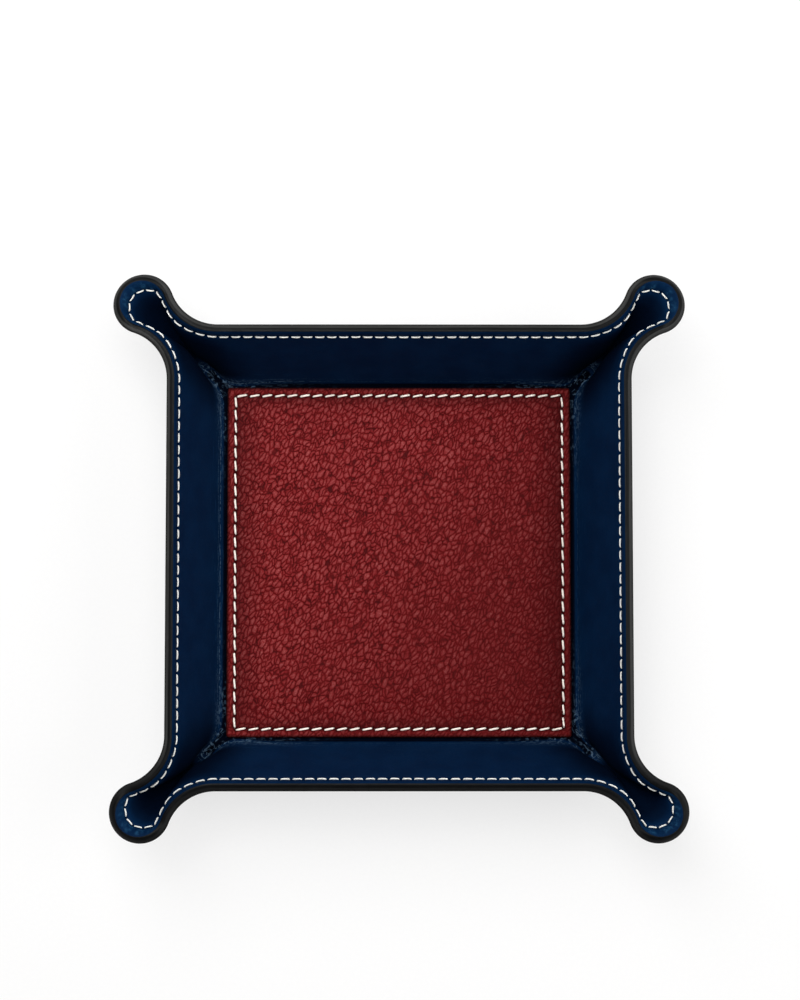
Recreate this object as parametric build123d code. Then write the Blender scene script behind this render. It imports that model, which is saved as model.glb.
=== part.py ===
from build123d import *
import math
import os

# A square leather valet tray with four leaning walls and pinched, round-ended corner ears.
# Lengths are in millimetres. The origin is the middle of the underside, with +Z up.

# Walls and floor, measured on the outer leather
rim_half_width = 77.8
rim_outer_height = 36.5
base_half_width = 62.5
foot_round = 1.2
foot_round_height = 1.1

# Corner ears, seen from above along the outer edge of the rim, each with a cove on both sides:
# how far the middle of an ear's round tip lies beyond the line of the walls
ear_beyond_wall_x = 8.05
ear_beyond_wall_y = 7.0
ear_tip_radius = 10.25
cove_radius = 16.5
ear_dip = 3.0

# Corners of the floor, which the pinch draws out a little towards the ears
foot_tip_beyond_wall = 2.5
foot_tip_radius = 3.4
foot_cove_radius = 10.0

# Leathers and what is bonded between them
outer_leather_thickness = 1.4
lining_leather_thickness = 1.5
floor_lining_thickness = 1.3
base_board_thickness = 1.6
base_board_margin = 1.6
base_board_corner_radius = 3.0
wall_stiffener_thickness = 0.6
wall_stiffener_foot_gap = 4.0
wall_stiffener_rim_gap = 7.5
wall_stiffener_end_gap = 1.5

# Painted bead on the cut edge of both leathers
edge_crown_height = 0.38
edge_shoulder_share = 0.22

# Rim seam, one row of lockstitches through both leathers
rim_seam_depth = 3.3
rim_stitch_pitch = 4.03
rim_stitch_gap = 0.75
seam_steps_per_edge = 24

# Red panel on the floor, with a thin pad under it: a little longer along Y than wide along X
panel_side_gap = 1.8
panel_end_gap = 0.75
panel_corner_radius = 1.2
panel_leather_thickness = 1.2
panel_edge_bevel = 0.3
panel_pad_thickness = 1.3
panel_pad_inset = 4.2
panel_pad_slope = 6.0
panel_pad_corner_radius = 7.0
panel_seam_inset = 2.9
panel_stitch_pitch = 4.35
panel_stitch_gap = 0.9
panel_stitch_slant = 10.0

# How far in and how far up the pad's edge has come, from its foot to its flat top
pad_rise_shares = [(0, 0), (0.3, 0.55), (0.62, 0.88), (1, 1)]

# Thread, flattened where it lies on the leather, and its clearance over curved leather
thread_width = 0.68
thread_height = 0.5
thread_clearance = 0.04

# Sizes that follow from the ones above
ear_reach_x = rim_half_width + ear_beyond_wall_x
ear_reach_y = rim_half_width + ear_beyond_wall_y
foot_tip_reach = base_half_width + foot_tip_beyond_wall
stack_thickness = outer_leather_thickness + lining_leather_thickness
floor_top = outer_leather_thickness + base_board_thickness + floor_lining_thickness
wall_lean = math.atan2(rim_half_width - base_half_width, rim_outer_height)
wall_length = math.hypot(rim_half_width - base_half_width, rim_outer_height)


def level_point(centre, radius, degrees):
    """Point on a level circle."""
    angle = math.radians(degrees)
    return centre + Vector(math.cos(angle), math.sin(angle)) * radius


def eared_corner(half_width, reach_x, reach_y, tip_radius, cove_radius):
    """Nine points round the +X +Y corner of a level square with eared corners, each with its heading."""
    far = half_width + cove_radius
    span = tip_radius + cove_radius
    first_centre = Vector(far, reach_y - math.sqrt(span ** 2 - (far - reach_x) ** 2))
    last_centre = Vector(reach_x - math.sqrt(span ** 2 - (far - reach_y) ** 2), far)
    tip_centre = Vector(reach_x, reach_y)
    tip_start = math.degrees(math.atan2(first_centre.Y - reach_y, far - reach_x))
    tip_end = math.degrees(math.atan2(far - reach_y, last_centre.X - reach_x))
    stations = []
    for share in (0, 0.5):
        degrees = 180 + tip_start * share
        stations.append((level_point(first_centre, cove_radius, degrees), degrees - 90))
    for share in (0, 0.25, 0.5, 0.75, 1):
        degrees = tip_start + (tip_end - tip_start) * share
        stations.append((level_point(tip_centre, tip_radius, degrees), degrees + 90))
    for share in (0.5, 1):
        degrees = tip_end - 180 + (90 - tip_end) * share
        stations.append((level_point(last_centre, cove_radius, degrees), degrees - 90))
    return stations


def wall_half_width(depth, level):
    """Distance of a wall from the middle, at a depth into the leather and a level above the table."""
    return base_half_width + level * math.tan(wall_lean) - depth / math.cos(wall_lean)


def foot_corner(depth, level):
    """Nine points round a drawn-out floor corner, at a depth into the leather and a level above the table."""
    spread = wall_half_width(depth, level) - base_half_width
    stations = eared_corner(
        base_half_width + spread, foot_tip_reach, foot_tip_reach,
        foot_tip_radius + spread, foot_cove_radius - spread)
    return [point + Vector(0, 0, level) for point, heading in stations]


def rim_corner(depth, lift):
    """Nine points of the rim's corner, which dips to the ear's tip, at a depth and a lift off its cut edge."""
    stations = eared_corner(rim_half_width, ear_reach_x, ear_reach_y, ear_tip_radius, cove_radius)
    reaches = [point.X + point.Y for point, heading in stations]
    dip_start = max(reaches[0], reaches[8])
    points = []
    for foot, (point, heading), reach in zip(foot_corner(0, 0), stations, reaches):
        dip_share = max(0, (reach - dip_start) / (reaches[4] - dip_start))
        point = point + Vector(0, 0, rim_outer_height - ear_dip * dip_share ** 2)
        along = level_point(Vector(), 1, heading)
        up = (point - foot).normalized()
        inward = up.cross(along).normalized()
        points.append(point + inward * depth + up * lift)
    return points


def loop_edges(corner):
    """Twenty edges of a closed loop: each corner's four arcs and the straight side after them."""
    mirrored = [Vector(-point.X, point.Y, point.Z) for point in reversed(corner)]
    corners = [corner, mirrored]
    corners += [[point.rotate(Axis.Z, 180) for point in points] for points in (corner, mirrored)]
    edges = []
    for points, following in zip(corners, corners[1:] + corners[:1]):
        for start in (0, 2, 4, 6):
            edges.append(Edge.make_three_point_arc(*points[start:start + 3]))
        edges.append(Edge.make_line(points[8], following[0]))
    return edges


def wrapped_solid(*loops):
    """Solid whose surface runs straight from each loop to the next, closed at the first and last."""
    wires = {id(edges): Wire(edges) for edges in loops}
    return Solid.make_loft([wires[id(edges)] for edges in loops], ruled=True)


panel_half_width = wall_half_width(stack_thickness, floor_top) - panel_side_gap
panel_half_length = wall_half_width(stack_thickness, floor_top) - panel_end_gap

# Loops that the leathers share
sole_loop = loop_edges(foot_corner(foot_round, 0))
outer_foot_loop = loop_edges(foot_corner(0, foot_round_height))
bond_foot_loop = loop_edges(foot_corner(outer_leather_thickness, outer_leather_thickness))
inner_foot_loop = loop_edges(foot_corner(stack_thickness, floor_top))
outer_rim_loop = loop_edges(rim_corner(0, 0))
bond_rim_loop = loop_edges(rim_corner(outer_leather_thickness, 0))
inner_rim_loop = loop_edges(rim_corner(stack_thickness, 0))


def make_outer_leather():
    """Underside and outer face of the walls and ears."""
    return wrapped_solid(sole_loop, outer_foot_loop, outer_rim_loop, bond_rim_loop, bond_foot_loop)


def make_base_board():
    """Flat board under the floor of the lining, inside the fold of the walls."""
    width = 2 * (wall_half_width(outer_leather_thickness, outer_leather_thickness) - base_board_margin)
    outline = RectangleRounded(width, width, base_board_corner_radius)
    return Pos(0, 0, outer_leather_thickness) * extrude(outline, base_board_thickness)


def make_wall_stiffener():
    """Flat strip on the inside of the outer leather of the +X wall."""
    up = Vector(math.sin(wall_lean), 0, math.cos(wall_lean))
    inward = Vector(-math.cos(wall_lean), 0, math.sin(wall_lean))
    foot = (floor_top + wall_stiffener_foot_gap) / math.cos(wall_lean)
    height = wall_length - wall_stiffener_rim_gap - foot
    length = 2 * (foot_corner(0, 0)[0].Y - wall_stiffener_end_gap)
    centre = Vector(base_half_width, 0, 0) + inward * outer_leather_thickness + up * (foot + height / 2)
    strip_plane = Plane(origin=centre, x_dir=(0, -1, 0), z_dir=inward)
    return extrude(strip_plane * Rectangle(length, height), wall_stiffener_thickness)


def make_lining_leather(bonded_pieces):
    """Floor and inner face of the walls and ears, let in where it covers board and stiffeners."""
    lining = wrapped_solid(bond_foot_loop, bond_rim_loop, inner_rim_loop, inner_foot_loop)
    for piece in bonded_pieces:
        lining = lining - piece
    return lining


def make_rim_edge_finish():
    """Low crowned bead of edge paint on the cut edge of both leathers."""
    outer_shoulder = loop_edges(rim_corner(stack_thickness * edge_shoulder_share, edge_crown_height))
    inner_shoulder = loop_edges(rim_corner(stack_thickness * (1 - edge_shoulder_share), edge_crown_height))
    return wrapped_solid(
        outer_rim_loop, outer_shoulder, inner_shoulder, inner_rim_loop, bond_rim_loop, outer_rim_loop)


def make_stitch(length):
    """One stitch, flat below and arched above, along X and centred on its underside."""
    half_length = length / 2
    underside = Line((-half_length, 0), (half_length, 0))
    back = ThreePointArc((half_length, 0), (0, thread_height), (-half_length, 0))
    side = Plane.XZ * make_face(underside + back)
    return extrude(side, thread_width / 2, both=True)


def wall_point(foot_edges, rim_edges, station, drop):
    """Point on a ruled wall, a drop below the rim, and the direction up the wall there."""
    number = int(station) % len(rim_edges)
    share = station - int(station)
    rim_point = rim_edges[number].position_at(share)
    up = (rim_point - foot_edges[number].position_at(share)).normalized()
    return rim_point - up * drop, up


def even_seam_stations():
    """Stations of the rim seam's holes, evenly spaced along the inside of the wall."""
    steps = len(inner_rim_loop) * seam_steps_per_edge
    stations = [step / seam_steps_per_edge for step in range(steps + 1)]
    points = [wall_point(inner_foot_loop, inner_rim_loop, station, rim_seam_depth)[0] for station in stations]
    travelled = [0]
    for before, after in zip(points, points[1:]):
        travelled.append(travelled[-1] + (after - before).length)
    stitch_count = round(travelled[-1] / rim_stitch_pitch)
    holes = []
    step = 0
    for hole in range(stitch_count + 1):
        distance = travelled[-1] * hole / stitch_count
        while step < steps - 1 and travelled[step + 1] < distance:
            step += 1
        part = (distance - travelled[step]) / (travelled[step + 1] - travelled[step])
        holes.append(stations[step] + part / seam_steps_per_edge)
    return holes


def make_rim_thread(foot_edges, rim_edges, facing):
    """Stitches of the rim seam on one face of the wall: facing 1 is inside and -1 is outside."""
    stitches = []
    holes = even_seam_stations()
    for first, last in zip(holes, holes[1:]):
        start = wall_point(foot_edges, rim_edges, first, rim_seam_depth)[0]
        end = wall_point(foot_edges, rim_edges, last, rim_seam_depth)[0]
        middle = (start + end) * 0.5
        up = wall_point(foot_edges, rim_edges, (first + last) / 2, rim_seam_depth)[1]
        out = up.cross(end - start).normalized() * facing
        rise = 0
        for share in (0, 0.25, 0.5, 0.75, 1):
            for side in (-1, 1):
                drop = rim_seam_depth + side * thread_width / 2
                nearby = wall_point(foot_edges, rim_edges, first + (last - first) * share, drop)[0]
                rise = max(rise, (nearby - middle).dot(out))
        seat = Plane(origin=middle + out * (rise + thread_clearance), x_dir=end - start, z_dir=out)
        stitches.append(seat.location * make_stitch((end - start).length - rim_stitch_gap))
    return Compound(stitches)


def make_pad_form():
    """Low pad with rounded sides, its flat underside at zero height."""
    sections = []
    for in_share, up_share in pad_rise_shares:
        inset = panel_pad_inset + panel_pad_slope * in_share
        width = 2 * (panel_half_width - inset)
        length = 2 * (panel_half_length - inset)
        outline = RectangleRounded(width, length, panel_pad_corner_radius)
        sections.append(Pos(0, 0, panel_pad_thickness * up_share) * outline)
    return loft(sections, ruled=True)


def make_panel_leather(pad_form):
    """Red leather with a flat stitched border, drawn up over the pad."""
    outline = RectangleRounded(2 * panel_half_width, 2 * panel_half_length, panel_corner_radius)
    sheet = extrude(outline, panel_leather_thickness)
    sheet = chamfer(sheet.edges().group_by(Axis.Z)[-1], panel_edge_bevel)
    return Pos(0, 0, floor_top) * (sheet + Pos(0, 0, panel_leather_thickness) * pad_form - pad_form)


def make_panel_thread():
    """Four rows of slanting stitches just inside the edge of the red panel."""
    seam_sides = [panel_half_width - panel_seam_inset, panel_half_length - panel_seam_inset]
    stitches = []
    for quarters in range(4):
        half_run = seam_sides[quarters % 2]
        offset = seam_sides[(quarters + 1) % 2]
        stitch_count = round(2 * half_run / panel_stitch_pitch)
        pitch = 2 * half_run / stitch_count
        stitch = make_stitch(pitch - panel_stitch_gap)
        for number in range(stitch_count):
            place = Pos((number + 0.5) * pitch - half_run, offset, floor_top + panel_leather_thickness)
            stitches.append(Rot(0, 0, 90 * quarters) * place * Rot(0, 0, panel_stitch_slant) * stitch)
    return Compound(stitches)


base_board = make_base_board()
right_stiffener = make_wall_stiffener()
stiffeners = {
    "wall_stiffener_right": right_stiffener,
    "wall_stiffener_back": Rot(0, 0, 90) * right_stiffener,
    "wall_stiffener_left": Rot(0, 0, 180) * right_stiffener,
    "wall_stiffener_front": Rot(0, 0, 270) * right_stiffener,
}
pad_form = make_pad_form()
nodes = {
    "outer_leather": make_outer_leather(),
    "lining_leather": make_lining_leather([base_board, *stiffeners.values()]),
    "rim_edge_finish": make_rim_edge_finish(),
    "rim_thread_inside": make_rim_thread(inner_foot_loop, inner_rim_loop, 1),
    "rim_thread_outside": make_rim_thread(outer_foot_loop, outer_rim_loop, -1),
    "base_board": base_board,
    "base_panel_leather": make_panel_leather(pad_form),
    "base_panel_pad": Pos(0, 0, floor_top) * pad_form,
    "base_panel_thread": make_panel_thread(),
    **stiffeners,
}

os.makedirs("parts", exist_ok=True)
for name, shape in nodes.items():
    export_step(shape, f"parts/{name}.step")
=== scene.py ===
import math
from functools import partial

import bpy
import numpy as np
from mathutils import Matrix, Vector


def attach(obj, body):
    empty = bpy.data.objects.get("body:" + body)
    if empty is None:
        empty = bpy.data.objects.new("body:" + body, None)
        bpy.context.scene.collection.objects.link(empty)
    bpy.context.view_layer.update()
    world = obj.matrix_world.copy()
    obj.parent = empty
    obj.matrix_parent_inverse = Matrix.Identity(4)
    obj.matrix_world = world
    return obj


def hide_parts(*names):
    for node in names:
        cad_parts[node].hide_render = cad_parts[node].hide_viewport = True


# Looks of the leather valet tray, built round its CAD frame.
# Sizes here are in millimetres, in the frame's own axes, and meshes are scaled to metres as they are made.
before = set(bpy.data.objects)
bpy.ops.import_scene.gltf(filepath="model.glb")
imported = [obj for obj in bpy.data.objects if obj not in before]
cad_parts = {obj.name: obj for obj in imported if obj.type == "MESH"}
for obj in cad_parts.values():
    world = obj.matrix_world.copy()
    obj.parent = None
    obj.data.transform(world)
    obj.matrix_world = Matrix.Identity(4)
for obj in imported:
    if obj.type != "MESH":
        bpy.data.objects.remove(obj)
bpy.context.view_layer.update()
MM = 0.001

# The part's own sizes, as in its source
rim_half_width = 77.8
rim_outer_height = 36.5
base_half_width = 62.5
foot_round_height = 1.1
ear_reach_x = rim_half_width + 8.05
ear_reach_y = rim_half_width + 7.0
ear_tip_radius = 10.25
cove_radius = 16.5
ear_dip = 3.0
foot_tip_reach = base_half_width + 2.5
foot_tip_radius = 3.4
foot_cove_radius = 10.0
outer_leather_thickness = 1.4
lining_leather_thickness = 1.5
floor_lining_thickness = 1.3
base_board_thickness = 1.6
base_board_margin = 1.6
wall_stiffener_thickness = 0.6
wall_stiffener_foot_gap = 4.0
wall_stiffener_rim_gap = 7.5
wall_stiffener_end_gap = 1.5
edge_crown_height = 0.38
rim_seam_depth = 3.3
rim_stitch_pitch = 4.03
seam_steps_per_edge = 24
panel_side_gap = 1.8
panel_end_gap = 0.75
panel_corner_radius = 1.2
panel_leather_thickness = 1.2
panel_pad_thickness = 1.3
panel_pad_inset = 4.2
panel_pad_slope = 6.0
panel_pad_corner_radius = 7.0
panel_seam_inset = 2.9
panel_stitch_pitch = 4.35

# The scene's own sizes: soft forms, fine relief, the brushed edge paint and the twisted threads
neck_draw = 0.6
neck_draw_reach = 5.5
tip_flare = 1.15
tip_flare_reach = 1.8
tuck_slope = 0.14
fold_reach = 1.3
seam_groove_depth = 0.2
seam_swell_height = 0.13
seam_swell_offset = 1.9
seam_hole_depth = 0.34
seam_hole_radius = 0.5
crease_height = 0.06
pucker_height = 0.16
lining_wave_height = 0.12
outer_wave_height = 0.1
pocket_step = 0.02
pocket_corner_radius = 1.2
sole_turn_rise = 1.2
sole_turn_inset = 2.4
edge_groove_depths = (0.05, 0.03)
edge_wave_height = 0.02
edge_paint_sink = 0.05
rim_stitch_share = 0.78
rim_thread_sink = 0.14
inside_thread_radius = 0.26
inside_thread_rise = 0.17
outside_thread_radius = 0.28
outside_thread_rise = 0.10
panel_grain_depth = 0.07
panel_wave_height = 0.12
panel_groove_depth = 0.24
panel_hole_depth = 0.3
panel_hole_radius = 0.52
panel_hole_reach = 1.6
pebble_turn = 1.0
panel_stitch_slants = (math.radians(11), math.radians(6))
panel_stitch_share = 0.79
panel_thread_radius = 0.33
panel_thread_sink = 0.5
panel_thread_rise = 0.24
pad_unevenness = 0.02

# How the rows and columns of the grids are laid out
seam_band = 7.0
crease_band = 9.0
floor_row_insets = (6.0, 3.0)
sole_row_insets = (7.0, 20.0)
flat_row_radius = 1.0
bond_row_drops = (20.0, 10.0, 5.0, 2.0, 0.0)
seam_line_step = 0.27
middle_line_step = 0.415
columns_per_stitch = 8
stations_per_side = 5
loop_edge_count = 4 * stations_per_side

stack_thickness = outer_leather_thickness + lining_leather_thickness
floor_top = outer_leather_thickness + base_board_thickness + floor_lining_thickness
wall_lean = math.atan2(rim_half_width - base_half_width, rim_outer_height)
wall_length = math.hypot(rim_half_width - base_half_width, rim_outer_height)


# Small maths


def unit(vectors):
    """Vectors scaled to length one."""
    return vectors / np.maximum(np.linalg.norm(vectors, axis=-1, keepdims=True), 1e-9)


def ease(low, high, values):
    """Smooth step from 0 at low to 1 at high."""
    share = np.clip((values - low) / (high - low), 0, 1)
    return share * share * (3 - 2 * share)


def bell(values, centre, width):
    """Bell curve of height one."""
    return np.exp(-((values - centre) / width) ** 2)


def lattice_noise(x, y, seed, period=2048):
    """Smooth noise from -1 to 1 on a unit lattice, which repeats along x after period steps."""
    angles = np.random.default_rng(seed).random((2048, 128)) * 2 * math.pi
    cell_x = np.floor(x).astype(int)
    cell_y = np.floor(y).astype(int)
    part_x = x - cell_x
    part_y = y - cell_y

    def corner(step_x, step_y):
        angle = angles[(cell_x + step_x) % period, (cell_y + step_y) % 128]
        return np.cos(angle) * (part_x - step_x) + np.sin(angle) * (part_y - step_y)

    fade_x = part_x ** 3 * (part_x * (part_x * 6 - 15) + 10)
    fade_y = part_y ** 3 * (part_y * (part_y * 6 - 15) + 10)
    low = corner(0, 0) + (corner(1, 0) - corner(0, 0)) * fade_x
    high = corner(0, 1) + (corner(1, 1) - corner(0, 1)) * fade_x
    return (low + (high - low) * fade_y) * 1.5


def patch_noise(x, y, size, seed):
    """Smooth noise from -1 to 1 with patches of a size."""
    return lattice_noise(x / size, y / size, seed)


def cell_distances(x, y, seed):
    """Distance to the nearest and the next nearest point of a scattered unit lattice."""
    spots = np.random.default_rng(seed).random((256, 256, 2)) * 0.86 + 0.07
    cell_x = np.floor(x).astype(int)
    cell_y = np.floor(y).astype(int)
    nearest = np.full(x.shape, 9.0)
    second = np.full(x.shape, 9.0)
    for step_x in (-2, -1, 0, 1, 2):
        for step_y in (-2, -1, 0, 1, 2):
            spot = spots[(cell_x + step_x) % 256, (cell_y + step_y) % 256]
            distance = np.hypot(cell_x + step_x + spot[..., 0] - x, cell_y + step_y + spot[..., 1] - y)
            second = np.minimum(second, np.maximum(nearest, distance))
            nearest = np.minimum(nearest, distance)
    return nearest, second


# The part's loops


def quarter_turned(points, quarters):
    """Points turned about the upright axis by a number of quarter turns."""
    cosine, sine = ((1, 0), (0, 1), (-1, 0), (0, -1))[quarters % 4]
    x, y = points[..., 0], points[..., 1]
    return np.stack([cosine * x - sine * y, sine * x + cosine * y, points[..., 2]], -1)


def eared_corner(half_width, reach_x, reach_y, tip_radius, cove_size):
    """Nine level points round the +X +Y corner of a square with eared corners, and their headings."""
    far = half_width + cove_size
    span = tip_radius + cove_size
    first_centre = (far, reach_y - math.sqrt(span ** 2 - (far - reach_x) ** 2))
    last_centre = (reach_x - math.sqrt(span ** 2 - (far - reach_y) ** 2), far)
    tip_start = math.atan2(first_centre[1] - reach_y, far - reach_x)
    tip_end = math.atan2(far - reach_y, last_centre[0] - reach_x)
    arcs = [(first_centre, cove_size, math.pi + tip_start * share, -1) for share in (0, 0.5)]
    for share in (0, 0.25, 0.5, 0.75, 1):
        arcs.append(((reach_x, reach_y), tip_radius, tip_start + (tip_end - tip_start) * share, 1))
    for share in (0.5, 1):
        arcs.append((last_centre, cove_size, tip_end - math.pi + (math.pi / 2 - tip_end) * share, -1))
    points = [(centre[0] + radius * math.cos(angle), centre[1] + radius * math.sin(angle))
              for centre, radius, angle, turn in arcs]
    headings = [angle + turn * math.pi / 2 for centre, radius, angle, turn in arcs]
    return np.array(points), np.array(headings)


def wall_half_width(depth, level):
    """Distance of a wall from the middle, at a depth into the leather and a level."""
    return base_half_width + level * math.tan(wall_lean) - depth / math.cos(wall_lean)


def square_corner(half_width, radius, level):
    """Nine points round the +X +Y corner of a level rounded square."""
    angles = np.array([0, 0.15, 0.3, 0.4, 0.5, 0.6, 0.7, 0.85, 1]) * math.pi / 2
    centre = half_width - radius
    level_row = np.full(9, float(level))
    return np.stack([centre + radius * np.cos(angles), centre + radius * np.sin(angles), level_row], -1)


def drawn_corner(spread, level):
    """Nine points round a drawn-out floor corner, spread out from the foot of the outer leather."""
    points, _ = eared_corner(
        base_half_width + spread, foot_tip_reach, foot_tip_reach,
        foot_tip_radius + spread, foot_cove_radius - spread)
    return np.column_stack([points, np.full(9, float(level))])


def foot_corner(depth, level):
    """Nine points round a floor corner, at a depth into the leather and a level."""
    return drawn_corner(wall_half_width(depth, level) - base_half_width, level)


def rim_corner(depth, lift):
    """Nine points of the rim's corner, which dips to the ear's tip, at a depth and a lift."""
    level_points, headings = eared_corner(
        rim_half_width, ear_reach_x, ear_reach_y, ear_tip_radius, cove_radius)
    reaches = level_points.sum(-1)
    dip_start = max(reaches[0], reaches[8])
    dip_share = np.clip((reaches - dip_start) / (reaches[4] - dip_start), 0, None)
    points = np.column_stack([level_points, rim_outer_height - ear_dip * dip_share ** 2])
    along = np.stack([np.cos(headings), np.sin(headings), np.zeros(9)], -1)
    up = unit(points - foot_corner(0, 0))
    inward = unit(np.cross(up, along))
    return points + inward * depth + up * lift


def arc_points(three, shares):
    """Points at even shares along the arc through three points."""
    first, second, third = three
    side_one, side_two = second - first, third - first
    normal = np.cross(side_one, side_two)
    lift = np.cross(normal, side_one) * side_two.dot(side_two)
    lift = lift + np.cross(side_two, normal) * side_one.dot(side_one)
    centre = first + lift / (2 * normal.dot(normal))
    start = first - centre
    across = np.cross(normal / np.linalg.norm(normal), start)
    end = third - centre
    sweep = math.atan2(end.dot(across), end.dot(start)) % (2 * math.pi)
    angles = shares[:, None] * sweep
    return centre + start * np.cos(angles) + across * np.sin(angles)


def loop_points(corner, stations):
    """Points on a closed loop: four arcs at each corner and the straight side after them."""
    stations = stations % loop_edge_count
    number = stations.astype(int)
    share = stations - number
    mirrored = corner[::-1] * np.array([-1, 1, 1])
    half_turn = np.array([-1, -1, 1])
    corners = [corner, mirrored, corner * half_turn, mirrored * half_turn]
    result = np.zeros((len(stations), 3))
    for index, points in enumerate(corners):
        following = corners[(index + 1) % 4]
        for step in range(4):
            chosen = number == index * stations_per_side + step
            result[chosen] = arc_points(points[2 * step:2 * step + 3], share[chosen])
        chosen = number == index * stations_per_side + 4
        result[chosen] = points[8] + (following[0] - points[8]) * share[chosen][:, None]
    return result


def wall_points(foot_shape, rim_shape, stations, drop):
    """Points on a ruled wall, a drop below the rim, and the direction up the wall there."""
    rim = loop_points(rim_shape, stations)
    up = unit(rim - loop_points(foot_shape, stations))
    return rim - up * drop, up


def drawn_in(stations):
    """Level ways in for each station: one at the necks, and one at the tips of the ears."""
    rim = loop_points(outer_rim, stations)
    up = rim - loop_points(outer_foot, stations)
    along = loop_points(outer_rim, stations + 0.01) - loop_points(outer_rim, stations - 0.01)
    outward = unit(np.stack([along[:, 1], -along[:, 0], np.zeros(len(stations))], -1))
    lean = (up * outward).sum(-1) / up[:, 2]
    place = stations % stations_per_side
    tip = ease(0.95, 1.6, place) * (1 - ease(2.4, 3.05, place))
    return -outward * ease(0.42, -0.02, lean)[:, None] * neck_draw, -outward * tip[:, None] * tip_flare


def shaped(points, ways, drops, length):
    """Wall points drawn together below the rim of a neck, and under the flared rim of an ear's tip."""
    drops = np.asarray(drops, float) * np.ones(len(points))
    pinch = neck_draw_reach * (1 - np.exp(-drops / neck_draw_reach)) * (1 - ease(17.0, length - 1.0, drops))
    flare = (1 - np.exp(-drops / tip_flare_reach)) * (1 - ease(6.0, 24.0, drops))
    return points + ways[0] * pinch[:, None] + ways[1] * flare[:, None]


def tucked(points, drops):
    """Outer points drawn in under the rim wherever they would stand out past it."""
    rim = around(outer_rim)[:, :2]
    along = np.roll(rim, -1, 0) - np.roll(rim, 1, 0)
    outward = unit(np.stack([along[:, 1], -along[:, 0]], -1))
    away = np.hypot(points[:, None, 0] - rim[None, :, 0], points[:, None, 1] - rim[None, :, 1])
    nearest = away.argmin(1)
    drops = np.asarray(drops, float) * np.ones(len(points))
    past = ((points[:, :2] - rim[nearest]) * outward[nearest]).sum(-1)
    past = past + tuck_slope * np.minimum(drops, 16.0)
    push = (past + np.hypot(past, 0.3)) / 2 * (1 - np.exp(-drops))
    moved = points.copy()
    moved[:, :2] -= outward[nearest] * push[:, None]
    return moved


floor_half_width = wall_half_width(stack_thickness, floor_top)
inner_foot = foot_corner(stack_thickness, floor_top)
inner_rim = rim_corner(stack_thickness, 0)
bond_foot = foot_corner(outer_leather_thickness, outer_leather_thickness)
bond_rim = rim_corner(outer_leather_thickness, 0)
outer_foot = foot_corner(0, foot_round_height)
outer_rim = rim_corner(0, 0)


def run_lengths(points):
    """How far a line of points has run at each of them."""
    steps = np.linalg.norm(np.diff(points, axis=0), axis=1)
    return np.concatenate([[0], np.cumsum(steps)])


def seam_travel():
    """Stations along the rim, and how far the inside seam has run at each."""
    stations = np.arange(loop_edge_count * seam_steps_per_edge + 1) / seam_steps_per_edge
    seam, _ = wall_points(inner_foot, inner_rim, stations, rim_seam_depth)
    return stations, run_lengths(seam)


travel_stations, travelled = seam_travel()
seam_length = travelled[-1]
rim_stitch_count = round(seam_length / rim_stitch_pitch)
column_count = rim_stitch_count * columns_per_stitch
column_along = np.arange(column_count) / column_count * seam_length
column_stations = np.interp(column_along, travelled, travel_stations)
column_pitch = seam_length / column_count
column_ways = drawn_in(column_stations)
rim_stitch_step = seam_length / rim_stitch_count


def around(corner):
    """A corner's closed loop, with a point at every column."""
    return loop_points(corner, column_stations)


def wall_lines(foot_shape, rim_shape):
    """A wall's rim and foot at every column, with the direction and the length from foot to rim."""
    rim, foot = around(rim_shape), around(foot_shape)
    return rim, foot, unit(rim - foot), np.linalg.norm(rim - foot, axis=1)


def fold_travel():
    """How far each column's foot has run along the fold of the floor, the fold's length, and its line."""
    foot = around(inner_foot)
    lengths = run_lengths(np.concatenate([foot, foot[:1]]))
    return lengths[:-1], lengths[-1], foot


def corner_share():
    """For each column, 1 in an ear's tip and 0 along the straight walls."""
    place = column_stations % stations_per_side
    return ease(0.6, 1.6, place) * (1 - ease(2.4, 3.4, place))


tip_share = corner_share()
fold_along, fold_length, fold_line = fold_travel()
from_corner = np.abs(np.abs(fold_line[:, 0]) - np.abs(fold_line[:, 1]))
near_corner = bell(from_corner, 0, 9.0)
left_side = ease(-20.0, -52.0, fold_line[:, 0])
on_end_side = ease(-10.0, 10.0, np.abs(fold_line[:, 1]) - np.abs(fold_line[:, 0]))
end_side = on_end_side * (1 - bell(from_corner, 0, 14.0))


# Meshes


def add_mesh(name, points, faces):
    """Smooth object from points in millimetres and blocks of faces, each an array of one face size."""
    mesh = bpy.data.meshes.new(name)
    mesh.from_pydata(points * MM, [], [face for block in faces for face in block.tolist()])
    mesh.shade_smooth()
    mesh.validate()
    piece = bpy.data.objects.new(name, mesh)
    bpy.context.scene.collection.objects.link(piece)
    return piece


def enclosed(points, faces):
    """Volume that faces of three or four corners enclose, below zero when they face inward."""
    total = 0
    for block in faces:
        for step in range(1, block.shape[1] - 1):
            first, second, third = points[block[:, 0]], points[block[:, step]], points[block[:, step + 1]]
            total += (first * np.cross(second, third)).sum() / 6
    return total


def facing_out(points, faces):
    """The same faces, turned where needed so that they face out."""
    if enclosed(points, faces) < 0:
        return [block[:, ::-1] for block in faces]
    return faces


def strip_faces(upper, lower):
    """Quads between two closed rows of point numbers, or between two stacks of such rows."""
    return np.stack([upper, np.roll(upper, -1, -1), np.roll(lower, -1, -1), lower], -1).reshape(-1, 4)


def fan_faces(row, hub):
    """Triangles between a closed row of point numbers and a hub."""
    return np.stack([row, np.roll(row, -1), np.full(len(row), hub)], -1)


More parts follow.
